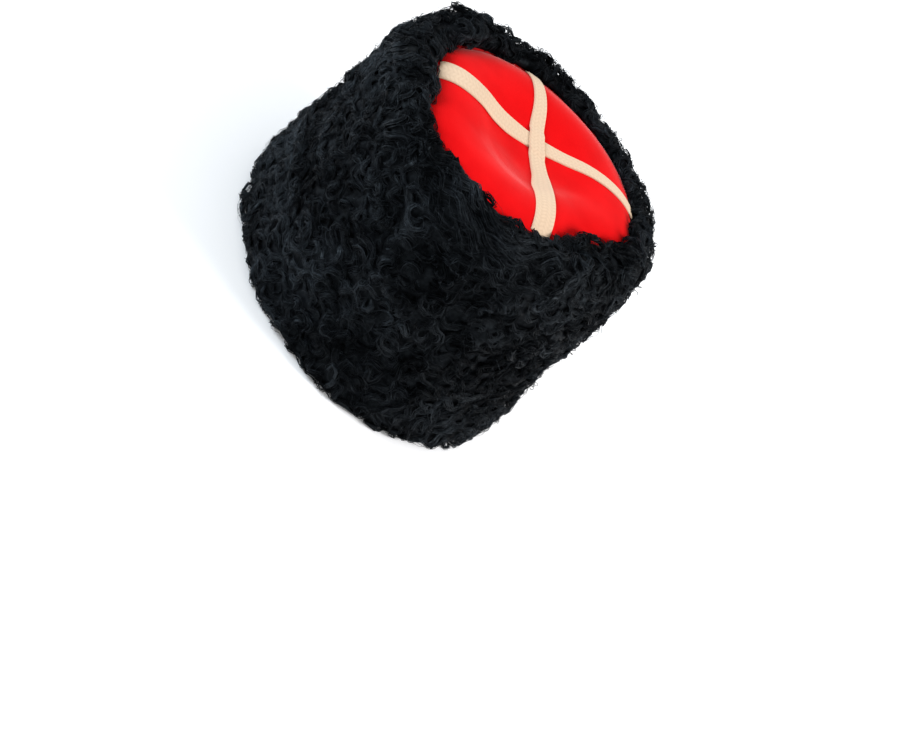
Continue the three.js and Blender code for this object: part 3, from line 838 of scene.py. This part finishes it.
braids = {
    "thickness": 1.2 * mm,
    "plait": 2.6 * mm,            # from strand to strand along the band
    "rows": 4,
    "relief": 0.07 * mm,
    "alongStep": 0.65 * mm,
    "across": 22,
    "endInset": 1.2 * mm,         # from the crown's opening
    "lift": 0.08 * mm,            # off the cloth, and off the other braid
    "crossing": 11 * mm,          # the upper braid rises this far from the lower one's middle
}
# angles round the crown and shares of its opening, from the narrow end of each braid to the wide one
sideBand = {"narrow": 8.5 * mm, "wide": 18 * mm, "flare": 0.3,
            "angle": [178.4, 187.2, 205.6, 283.4, 323.2, 339.9, 342.7],
            "across": [1.0, 0.65, 0.36, 0.22, 0.35, 0.65, 1.0]}
longBand = {"narrow": 8.8 * mm, "wide": 14.4 * mm, "flare": 0.0,
            "angle": [265.5, 258.7, 236.1, 126.4, 100.1, 91.1],
            "across": [1.0, 0.55, 0.21, 0.27, 0.5, 1.0]}


def routeLine(band, count=600):          # a centripetal curve through the band's route, evenly spaced
    angles = np.radians(band["angle"])
    reach = (openingRadius(angles) - braids["endInset"]) * band["across"]
    knots = np.stack([reach * np.cos(angles), reach * np.sin(angles)], axis=1)
    knots = np.concatenate([[2 * knots[0] - knots[1]], knots, [2 * knots[-1] - knots[-2]]])
    times = np.concatenate([[0], np.cumsum(np.sqrt(np.linalg.norm(np.diff(knots, axis=0), axis=1)))])
    line = []
    for i in range(1, len(knots) - 2):
        t = np.linspace(times[i], times[i + 1], 200)[:, None]
        t0, t1, t2, t3 = times[i - 1:i + 3]
        p0, p1, p2, p3 = knots[i - 1:i + 3]
        a1 = (t1 - t) / (t1 - t0) * p0 + (t - t0) / (t1 - t0) * p1
        a2 = (t2 - t) / (t2 - t1) * p1 + (t - t1) / (t2 - t1) * p2
        a3 = (t3 - t) / (t3 - t2) * p2 + (t - t2) / (t3 - t2) * p3
        b1 = (t2 - t) / (t2 - t0) * a1 + (t - t0) / (t2 - t0) * a2
        b2 = (t3 - t) / (t3 - t1) * a2 + (t - t1) / (t3 - t1) * a3
        line.append((t2 - t) / (t2 - t1) * b1 + (t - t1) / (t2 - t1) * b2)
    line = np.concatenate(line)
    run = np.concatenate([[0], np.cumsum(np.linalg.norm(np.diff(line, axis=0), axis=1))])
    even = np.linspace(0, run[-1], count)
    return np.stack([np.interp(even, run, line[:, k]) for k in (0, 1)], axis=1), run[-1]


def plaitRidges(share, run):             # rows of plaited strands, that lean one way and then the other
    rows = (share + 0.5) * braids["rows"]
    strand = (run + np.abs(rows % 2 - 1) * braids["plait"] * 0.9) / braids["plait"]
    return np.abs(np.sin(math.pi * strand)) ** 0.7 * np.abs(np.sin(math.pi * rows)) ** 0.35


def makeBraid(name, band, under=None):
    _, length = routeLine(band)
    steps = int(length / braids["alongStep"])
    line, length = routeLine(band, steps)
    ahead = np.gradient(line, axis=0)
    ahead /= np.linalg.norm(ahead, axis=1, keepdims=True)
    aside = np.stack([-ahead[:, 1], ahead[:, 0]], axis=1)
    share = np.linspace(-0.5, 0.5, braids["across"])
    flare = smoothStep(np.linspace(0, 1, steps), band["flare"], 1)
    across = share[None, :] * (band["narrow"] + (band["wide"] - band["narrow"]) * flare)[:, None]
    flat = line[:, None, :] + aside[:, None, :] * across[:, :, None]
    run = np.linspace(0, length, steps)[:, None]
    ridge = plaitRidges(share[None, :], run)
    edgeFall = np.sqrt(np.maximum(0, 1 - (np.abs(share) * 2) ** 8))[None, :]
    lift = np.zeros(flat.shape[:2])
    if under is not None:
        crossed, _ = routeLine(under)
        away = np.min(np.linalg.norm(flat[:, :, None, :] - crossed[None, None, ::6, :], axis=3), axis=2)
        lift = (braids["thickness"] + braids["lift"]) * (1 - smoothStep(away / braids["crossing"], 0.5, 1))
    ground = clothTop(flat[..., 0], flat[..., 1]) + braids["lift"] + lift
    topZ = ground + braids["thickness"] * (0.35 + 0.65 * edgeFall) + ridge * braids["relief"] * edgeFall
    top = np.concatenate([flat, topZ[..., None]], axis=2)
    below = np.concatenate([flat, ground[..., None]], axis=2)
    section = np.concatenate([below, top[:, ::-1]], axis=1)
    ring = section.shape[1]
    index = np.arange(steps * ring).reshape(steps, ring)
    beside = np.roll(index, -1, axis=1)
    faces = quads(index[:-1], beside[:-1], beside[1:], index[1:])
    half = braids["across"]
    for row, flip in ((0, False), (steps - 1, True)):    # the two ends
        low, high = index[row, :half], index[row, half:][::-1]
        for k in range(half - 1):
            cap = [int(low[k]), int(high[k]), int(high[k + 1]), int(low[k + 1])]
            faces.append(cap[::-1] if flip else cap)
    piece = meshObject(name, section.reshape(-1, 3), faces, [galloon])
    # the plait's ridges, which the galloon's material turns into painted shade in the furrows; the
    # underside is even
    relief = np.concatenate([np.full_like(ridge, 0.5), ridge[:, ::-1]], axis=1)
    layer = piece.data.attributes.new("relief", "FLOAT", "POINT")
    layer.data.foreach_set("value", relief.astype(np.float32).ravel())
    acrossRing = np.concatenate([across, across[:, ::-1]], axis=1)
    coordinates = np.stack([np.broadcast_to(run, (steps, ring)), acrossRing], axis=2)
    corners = np.zeros(len(piece.data.loops), int)
    piece.data.loops.foreach_get("vertex_index", corners)
    uv = piece.data.uv_layers.new(name="alongBraid")
    uv.data.foreach_set("uv", coordinates.reshape(-1, 2)[corners].astype(np.float32).ravel())
    print(name + ":", round(length * 1000), "mm,", len(faces), "faces")
    return piece


sideBraid = makeBraid("side_galloon", sideBand)
longBraid = makeBraid("long_galloon", longBand, under=sideBand)

# How the pieces ride and what they stand for

for piece in (fleeceBase, *lockPieces):
    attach(piece, "root")
    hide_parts("fur_body")
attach(crownSheet, "root")
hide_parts("crown_cloth")
for piece, node in ((sideBraid, "side_braid"), (longBraid, "long_braid")):
    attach(piece, "root")
    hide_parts(node)

# The floor, the lights and the camera

studio = {
    "floorRadius": 14.0,
    "distance": 0.95,
    "azimuth": 147.93,
    "elevation": 31.38,
    "roll": 48.3,
    "lens": 1615.0,               # in pixels of the frame
    "frame": (900, 735),
    "hatAt": (455.0, 216.6),      # where in the frame the aim comes
    "aim": 74.8 * mm,             # a height on the hat's axis
    "skyStrength": 0.66,
}
lamps = [                                # their ways are shares of the picture's right, up and back
    {"name": "keyLight", "way": (-0.55, 0.85, 0.35), "distance": 1.6, "size": 0.9, "power": 33,
     "colour": "#EAF5FF"},
    {"name": "sideLight", "way": (0.95, -0.35, 0.25), "distance": 1.5, "size": 0.7, "power": 23,
     "colour": "#FDFDFF"},
]


def makeFloor():
    turns = np.linspace(0, 2 * math.pi, 96, endpoint=False)
    radius = studio["floorRadius"]
    vertices = [(radius * math.cos(a), radius * math.sin(a), 0) for a in turns]
    floor = meshObject("floor", vertices, [list(range(len(vertices)))], [studioWhite()])


def viewAxes():
    a, e, roll = [math.radians(studio[k]) for k in ("azimuth", "elevation", "roll")]
    back = Vector((math.sin(a) * math.cos(e), -math.cos(a) * math.cos(e), math.sin(e)))
    level = Vector((0, 0, 1)).cross(back).normalized()
    upright = back.cross(level)
    right = level * math.cos(roll) + upright * math.sin(roll)
    return right, back.cross(right), back


def makeCamera():
    right, up, back = viewAxes()
    width, height = studio["frame"]
    toHat = Vector(((studio["hatAt"][0] - width / 2) / studio["lens"],
                    (height / 2 - studio["hatAt"][1]) / studio["lens"], -1))
    straight = Matrix((right, up, back)).transposed()
    turn = Vector((0, 0, -1)).rotation_difference(toHat).to_matrix()
    camera = bpy.data.objects.new("camera", bpy.data.cameras.new("camera"))
    bpy.context.scene.collection.objects.link(camera)
    camera.matrix_world = (straight @ turn.inverted()).to_4x4()
    camera.location = Vector((0, 0, studio["aim"])) + back * studio["distance"]
    camera.data.sensor_width = 36
    camera.data.lens = studio["lens"] * 36 / width
    camera.data.clip_start = 0.01
    bpy.context.scene.camera = camera


def addLight(lamp):
    way = sum((axis * share for axis, share in zip(viewAxes(), lamp["way"])), Vector()).normalized()
    light = bpy.data.lights.new(lamp["name"], "AREA")
    light.shape = "DISK"
    light.size = lamp["size"]
    light.energy = lamp["power"]
    light.color = toLinear(lamp["colour"])[:3]
    stand = bpy.data.objects.new(lamp["name"], light)
    bpy.context.scene.collection.objects.link(stand)
    stand.location = Vector((0, 0, 80 * mm)) + way * lamp["distance"]
    stand.rotation_mode = "QUATERNION"
    stand.rotation_quaternion = way.to_track_quat("Z", "Y")


def makeSky():
    world = bpy.data.worlds.new("studio")
    bpy.context.scene.world = world
    world.use_nodes = True
    sky = world.node_tree.nodes["Background"]
    sky.inputs["Color"].default_value = toLinear("#FFFFFF")
    sky.inputs["Strength"].default_value = studio["skyStrength"]


makeFloor()
makeCamera()
makeSky()
for lamp in lamps:
    addLight(lamp)
bpy.context.scene.view_settings.view_transform = "Standard"
print("studio done")
